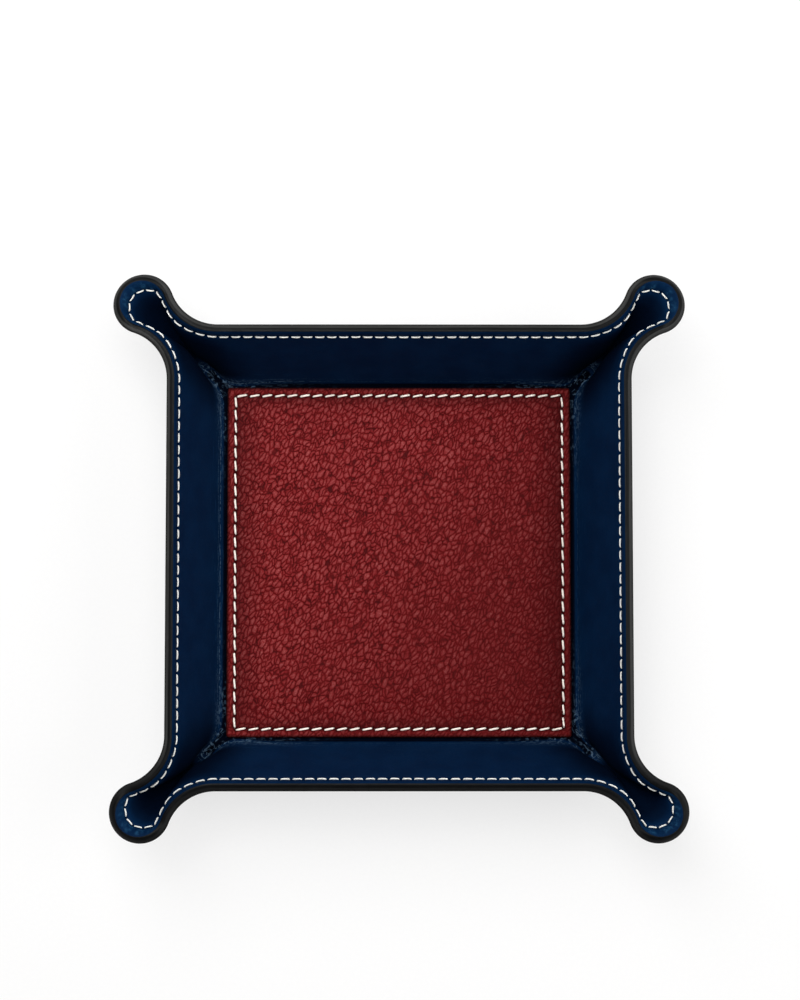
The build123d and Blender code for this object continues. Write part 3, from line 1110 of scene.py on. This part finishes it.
def fold_lines(graph):
    """Two thin broken pale lines that wander along the fold of the floor, partly rubbed wear and partly
    painted highlight.
    """
    away = graph.part(graph.sheet_place(name="fold"), "Y")
    lines = []
    for height, wave, strength in ((1.1, 0.11, 1.0), (2.6, 0.16, 0.4)):
        wander = graph.noise(graph.sheet_place((wave, 0, 1), "fold"), 1, 3, 0.55)
        centre = graph.maths("MULTIPLY_ADD", wander, 2.6, height - 1.3)
        distance = graph.maths("ABSOLUTE", graph.maths("SUBTRACT", away, centre))
        line = graph.span(distance, 0.0, 0.33, strength, 0)
        unbroken = graph.noise(graph.sheet_place((0.4, 0.6, 1), "fold"), height + 1, 1)
        lines.append(graph.times(line, graph.span(unbroken, 0.43, 0.55)))
    return graph.times(graph.larger(*lines), graph.stored("worn"))


def navy_leather(name):
    """Smooth navy leather with a fine closed grain, as a graph with its colour, roughness and normal."""
    graph = material_graph(name)
    where = graph.place()
    fine = graph.noise(where, 1.6, 3, 0.65)
    colour = graph.blend(graph.span(graph.noise(where, 0.09, 4, 0.6), 0.3, 0.7), navy_deep, navy_plain)
    colour = graph.blend(graph.span(fine, 0.52, 0.75, 0, 0.3), colour, navy_pale)
    rough = graph.span(fine, 0.3, 0.7, 0.50, 0.62)
    grain = graph.bump(graph.span(graph.cells(where, 2.3), 0.05, 0.5, 1, 0), 0.035, 0.6)
    return graph, colour, rough, graph.bump(fine, 0.05, 0.45, grain)


def lining_leather():
    """Navy leather streaked above the floor: creases partly rubbed pale and partly painted highlight,
    painted shade in hollows and needle holes, painted highlights at the ear tips.
    """
    graph, colour, rough, normal = navy_leather("navy_lining_leather")
    where = graph.place()
    streak = graph.noise(graph.sheet_place((0.16, 1.1, 1)), 1, 3, 0.6)
    low = graph.span(graph.part(graph.sheet_place(), "Y"), 1.0, 12.0, 0.9, 0)
    low = graph.times(low, graph.span(graph.stored("worn"), 0.1, 0.9, 0.3, 1))
    streaks = graph.times(graph.span(streak, 0.55, 0.72), low)
    colour = graph.blend(streaks, colour, navy_streak)
    # Painted highlight on the pucker tops of the ear tips, mottled.
    mottle = graph.span(graph.noise(where, 0.8, 3, 0.6), 0.42, 0.62, 0.1, 1)
    colour = graph.blend(graph.times(graph.stored("glint"), mottle), colour, stretched_navy)
    # Painted shade on the floor by the fold and in the ears' valleys.
    colour = graph.blend(graph.stored("shade"), colour, hollow_navy)
    # Creases partly rubbed pale and partly painted highlight.
    rubbed = graph.larger(corner_flecks(graph, where), fold_lines(graph))
    colour = graph.blend(rubbed, colour, rubbed_navy)
    # Painted shade in the needle holes.
    colour = graph.tint(colour, graph.stored("dent"), 0.85, hollow_navy)
    rough = graph.maths("ADD", rough, graph.times(graph.stored("shade"), 0.35))
    normal = graph.bump(streaks, 0.09, 0.5, normal)
    normal = graph.bump(rubbed, 0.12, 0.7, normal)
    return graph.finish(colour, rough, 0.02, Normal=normal)


def outer_leather():
    """Plain navy leather, with painted shade in its needle holes."""
    graph, colour, rough, normal = navy_leather("navy_outer_leather")
    # Painted shade in the needle holes.
    colour = graph.tint(colour, graph.stored("dent"), 0.85, hollow_navy)
    return graph.finish(colour, rough, 0.12, Normal=normal)


def red_leather():
    """Pebbled red leather: pebbles of uneven brightness with painted light on their domes and painted
    highlights on their tops, painted shade in their creases and finer creases across, and painted shade
    towards the lower right, the seam and the edge.
    """
    graph = material_graph("red_pebbled_leather")
    where = graph.place()
    drawn = graph.turned(graph.warped(where, 0.3, 1.8), -60, (0.37, 0.78, 0.5))
    gap = graph.cells(drawn, 1.0, "DISTANCE_TO_EDGE", 0.9)
    small_gap = graph.cells(drawn, 2.1, "DISTANCE_TO_EDGE")
    strong = graph.span(graph.noise(where, 0.35), 0.35, 0.6, 0.70, 1)
    patchy = graph.span(graph.noise(where, 0.5), 0.45, 0.62, 0, 0.16)
    creases = graph.times(graph.span(gap, 0.0, 0.12, 1, 0), strong)
    small_creases = graph.times(graph.span(small_gap, 0.0, 0.14, 1, 0), patchy)
    lines = graph.larger(creases, small_creases)
    fine = graph.noise(where, 1.5, 3, 0.65)
    speck = graph.noise(where, 3.1, 2, 0.6)
    # Painted light: each pebble is lighter towards its middle, times a chance tone per pebble, and its tops
    # get pale painted highlights.
    dome = graph.span(gap, 0.0, 0.42)
    chance = graph.part(graph.cells(drawn, 1.0, "F1", 0.9, "Color"), "X")
    shaded = graph.times(dome, graph.span(chance, 0, 1, 0.80, 1))
    tops = graph.times(shaded, graph.span(speck, 0.40, 0.64))
    colour = graph.blend(graph.span(fine, 0.3, 0.7), (0.1400, 0.0034, 0.0046), (0.1750, 0.0064, 0.0080))
    colour = graph.tint(colour, shaded, 0.75, (0.2450, 0.0240, 0.0270))
    colour = graph.tint(colour, tops, 0.78, (0.3500, 0.0950, 0.0880))
    # Painted shade in the creases between the pebbles.
    colour = graph.tint(colour, lines, 0.95, (0.0300, 0.0005, 0.0009))
    colour = graph.blend(graph.span(graph.noise(where, 0.05, 3), 0.35, 0.7, 0, 0.12), colour, red_deep)
    # Painted shade: the panel darkens towards the lower right and towards the right, as the light falls
    # off.
    side_x, side_y = graph.part(where, "X"), graph.part(where, "Y")
    faded = graph.maths("SUBTRACT", side_y, side_x)
    colour = graph.blend(graph.span(faded, -95, 60, 0.50, 0), colour, red_shaded)
    colour = graph.blend(graph.span(side_x, -10, 60, 0, 0.16), colour, red_shaded)
    for name, strength, shade in red_tints:
        colour = graph.tint(colour, graph.stored(name), strength, shade)
    rough = graph.span(tops, 0.0, 1.0, 0.56, 0.40)
    normal = graph.bump(graph.span(graph.cells(where, 1.9), 0.05, 0.55, 1, 0), 0.04, 0.5)
    normal = graph.bump(fine, 0.12, 0.6, normal)
    normal = graph.bump(graph.span(gap, 0.0, 0.5), 0.42, 0.6, normal)
    normal = graph.bump(graph.times(lines, -1), 0.12, 0.6, normal)
    return graph.finish(colour, rough, 0.05, Normal=normal)


def edge_paint():
    """Charcoal edge paint, brushed: the outer band's grey is a painted highlight on the crown, and the dark
    inner band, the dark lines beside and between and the darker front edge are painted shade.
    """
    graph = material_graph("charcoal_edge_paint")
    brushed = graph.noise(graph.sheet_place((0.03, 4.2, 1)), 1, 3, 0.6)
    worn = graph.noise(graph.place(), 0.5, 4, 0.6)
    wavy = graph.noise(graph.sheet_place((0.06, 0.5, 1)), 1)
    waves = graph.span(wavy, 0.3, 0.7, -0.09, 0.09)
    across = graph.maths("ADD", graph.part(graph.sheet_place(), "Y"), waves)
    streaks = graph.span(brushed, 0.35, 0.65)
    # Painted highlight: the outer band's grey stands for the sheen on the crown, lighter in patches; the
    # near-black inner band is painted shade.
    grey = graph.blend(streaks, (0.0186, 0.0189, 0.0189), (0.0357, 0.0361, 0.0354))
    grey = graph.blend(graph.span(worn, 0.55, 0.8, 0, 0.35), grey, (0.0457, 0.0461, 0.0454))
    dark = graph.blend(streaks, (0.0021, 0.0024, 0.0027), (0.0057, 0.0060, 0.0063))
    colour = graph.blend(graph.span(across, 1.5, 1.85), grey, dark)
    # Painted shade: thin dark lines at the outer edge and between the bands.
    outer_line = graph.span(across, 0.2, 0.8, 0.7, 0)
    middle_line = graph.times(graph.span(across, 1.35, 1.6), graph.span(across, 1.7, 1.95, 1, 0))
    lines = graph.larger(outer_line, graph.times(middle_line, 0.8))
    colour = graph.tint(colour, lines, 0.92, (0.0009, 0.0009, 0.0011))
    # Painted shade along the front edge.
    at_front = graph.span(graph.part(graph.place(), "Y"), -74, -62, 0.78, 0)
    colour = graph.blend(at_front, colour, (0.0025, 0.0026, 0.0029))
    rough = graph.span(worn, 0.3, 0.7, 0.36, 0.5)
    return graph.finish(colour, rough, 0.08, Normal=graph.bump(brushed, 0.05, 0.5))


def waxed_thread(name, plain, pale, stained):
    """Cream waxed thread, laid from fine fibres."""
    graph = material_graph(name)
    fibre = graph.noise(graph.place(), 3.4, 4, 0.7)
    stain = graph.noise(graph.place(), 0.07, 3)
    colour = graph.blend(graph.span(fibre, 0.3, 0.7), plain, pale)
    colour = graph.blend(graph.span(stain, 0.5, 0.8, 0, 0.3), colour, stained)
    rough = graph.span(fibre, 0.2, 0.8, 0.5, 0.72)
    return graph.finish(colour, rough, 0.35, Normal=graph.bump(fibre, 0.05, 0.5))


def grey_board():
    """Raw grey board with pressed fibres and flecks."""
    graph = material_graph("raw_grey_board")
    fibre = graph.noise(graph.place((0.4, 1.6, 1)), 1.2, 6, 0.7)
    fleck = graph.cells(graph.place(), 1.1)
    colour = graph.blend(graph.span(fibre, 0.3, 0.7), (0.20, 0.18, 0.15), (0.32, 0.29, 0.24))
    colour = graph.blend(graph.span(fleck, 0.0, 0.16, 0.6, 0), colour, (0.09, 0.08, 0.07))
    rough = graph.span(fibre, 0.2, 0.8, 0.78, 0.92)
    return graph.finish(colour, rough, 0.25, Normal=graph.bump(fibre, 0.05, 0.6))


def bonded_fibre():
    """Raw bonded leather fibre, tan with matted darker strands."""
    graph = material_graph("raw_bonded_fibre")
    strand = graph.noise(graph.place((1.8, 0.5, 0.9)), 1.4, 6, 0.75)
    mottle = graph.noise(graph.place(), 0.3, 4, 0.6)
    colour = graph.blend(graph.span(strand, 0.3, 0.7), (0.17, 0.10, 0.055), (0.36, 0.23, 0.13))
    colour = graph.blend(graph.span(mottle, 0.5, 0.75, 0, 0.4), colour, (0.42, 0.30, 0.19))
    rough = graph.span(strand, 0.2, 0.8, 0.75, 0.95)
    return graph.finish(colour, rough, 0.25, Normal=graph.bump(strand, 0.07, 0.7))


def grey_felt():
    """Pale grey felt with loose short fibres."""
    graph = material_graph("pale_grey_felt")
    fibre = graph.noise(graph.place((1.0, 1.0, 2.0)), 2.6, 8, 0.8)
    cloud = graph.noise(graph.place(), 0.2, 3)
    colour = graph.blend(graph.span(fibre, 0.3, 0.7), (0.26, 0.25, 0.235), (0.45, 0.43, 0.40))
    colour = graph.blend(graph.span(cloud, 0.4, 0.7, 0, 0.3), colour, (0.32, 0.30, 0.28))
    rough = graph.span(fibre, 0.2, 0.8, 0.85, 0.98)
    return graph.finish(colour, rough, 0.2, Normal=graph.bump(fibre, 0.12, 0.8))


def white_paper(glow):
    """White paper with a glow that camera, glossy and transmission rays see, and other light doesn't."""
    graph = material_graph("white_paper")
    tooth = graph.noise(graph.place(), 0.8, 3, 0.6)
    colour = graph.blend(graph.span(tooth, 0.3, 0.7), (0.248, 0.246, 0.244), (0.256, 0.254, 0.252))
    rays = graph.add("ShaderNodeLightPath", {}).outputs
    seen = graph.larger(rays["Is Camera Ray"], rays["Is Glossy Ray"])
    seen = graph.larger(seen, rays["Is Transmission Ray"])
    light = {"Emission_Strength": graph.times(seen, glow), "Emission_Color": (1, 1, 1)}
    return graph.finish(colour, 0.9, 0.0, **light)


# Stage, light and camera


def add_floor():
    """White paper floor that reaches far past the picture, a little below the tray's underside."""
    half = 3000.0
    drop = -0.05
    points = np.array([[-half, -half, drop], [half, -half, drop], [half, half, drop], [-half, half, drop]])
    floor = add_mesh("paper_floor", points, [np.array([[0, 1, 2, 3]])])
    floor.data.materials.append(white_paper(0.695))


def add_world():
    """Studio surroundings: white towards the horizon and darker overhead, where the camera is."""
    world = bpy.data.worlds.new("studio")
    bpy.context.scene.world = world
    graph = Graph(world)
    upward = graph.part(graph.add("ShaderNodeTexCoord", {}).outputs["Generated"], "Z")
    light = graph.span(upward, 0.1, 0.35, 0.9, 0.14)
    background = graph.add("ShaderNodeBackground", {"Strength": light})
    graph.add("ShaderNodeOutputWorld", {"Surface": background.outputs[0]})


def add_softbox(name, where, size, watts):
    """Square area light in metres and watts that faces the tray."""
    data = bpy.data.lights.new(name, "AREA")
    data.size = size
    data.energy = watts
    lamp = bpy.data.objects.new(name, data)
    lamp.location = where
    lamp.rotation_mode = "QUATERNION"
    lamp.rotation_quaternion = (Vector((0, 0, 0.02)) - Vector(where)).to_track_quat("-Z", "Y")
    bpy.context.scene.collection.objects.link(lamp)


def add_camera():
    """Camera nearly straight above the tray."""
    data = bpy.data.cameras.new("camera")
    data.lens = 93
    data.sensor_width = 36
    camera = bpy.data.objects.new("camera", data)
    camera.location = (-0.0039, -0.0518, 0.8947)
    camera.rotation_euler = (math.radians(4.70), math.radians(-0.275), math.radians(-0.01))
    bpy.context.scene.collection.objects.link(camera)
    bpy.context.scene.camera = camera


def dress(piece, material, nodes):
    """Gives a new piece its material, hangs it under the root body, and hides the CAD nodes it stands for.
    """
    piece.data.materials.append(material)
    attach(piece, "root")
    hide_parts(*nodes)


def paint_node(name, material):
    """Gives a CAD node that stays as it is a better material."""
    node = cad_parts[name]
    node.data.materials.clear()
    node.data.materials.append(material)


# Navy colours: the darkest is painted shade for hollows and needle holes, the ear-tip colour a painted
# highlight, and the palest marks creases that are partly rubbed wear and partly painted highlight.
navy_deep = (0.0009, 0.0093, 0.0329)
navy_plain = (0.0014, 0.0129, 0.0429)
navy_pale = (0.0029, 0.0186, 0.0571)
navy_streak = (0.0086, 0.0371, 0.0893)
stretched_navy = (0.0079, 0.0400, 0.0914)
rubbed_navy = (0.0750, 0.1286, 0.1964)
hollow_navy = (0.0001, 0.0007, 0.0032)

# red_shaded is painted shade for the falloff of light across the panel; red_deep is a darker tone of the
# leather.
red_deep = (0.1071, 0.0036, 0.0043)
red_shaded = (0.0643, 0.0014, 0.0019)
# Tints of the red leather: border is a darker tone; the pad, seam, groove and needle-hole tints are painted
# shade; the edge tint is partly edge dye and partly painted shade.
red_tints = (
    ("border", 0.3, red_deep),
    ("hollow", 0.36, (0.0321, 0.0010, 0.0016)),
    ("beside_seam", 0.6, (0.0321, 0.0010, 0.0013)),
    ("groove", 0.5, (0.0143, 0.0007, 0.0009)),
    ("edge", 0.97, (0.0086, 0.0006, 0.0006)),
    ("dent", 0.95, (0.0057, 0.0007, 0.0007)))

rim_thread_material = waxed_thread(
    "cream_rim_thread", (0.66, 0.65, 0.61), (0.80, 0.80, 0.77), (0.66, 0.61, 0.54))
panel_thread_material = waxed_thread(
    "cream_panel_thread", (0.96, 0.82, 0.73), (1.0, 0.93, 0.86), (0.94, 0.80, 0.68))

dress(make_lining(), lining_leather(), ["lining_leather"])
dress(make_outer_leather(), outer_leather(), ["outer_leather"])
dress(make_edge_finish(), edge_paint(), ["rim_edge_finish"])
inside_thread = make_rim_thread(
    "rim_stitches_inside", inner_foot, inner_rim, 1, inside_thread_radius, inside_thread_rise)
dress(inside_thread, rim_thread_material, ["rim_thread_inside"])
outside_thread = make_rim_thread(
    "rim_stitches_outside", outer_foot, outer_rim, -1, outside_thread_radius, outside_thread_rise)
dress(outside_thread, rim_thread_material, ["rim_thread_outside"])
dress(make_panel(), red_leather(), ["base_panel_leather"])
dress(make_panel_thread(), panel_thread_material, ["base_panel_thread"])
pad = make_pad()
dress(pad, grey_felt(), ["base_panel_pad"])
paint_node("base_board", grey_board())
stiffener_material = bonded_fibre()
for side in ("right", "back", "left", "front"):
    paint_node(f"wall_stiffener_{side}", stiffener_material)

add_floor()
add_world()
add_softbox("overhead_softbox", (-0.05, 0.14, 1.05), 0.6, 6.2)
add_softbox("key_softbox", (-0.25, 0.40, 0.62), 0.5, 3.9)
add_softbox("right_softbox", (0.85, -0.10, 0.62), 0.8, 5.6)
add_camera()
bpy.context.scene.view_settings.view_transform = "Standard"
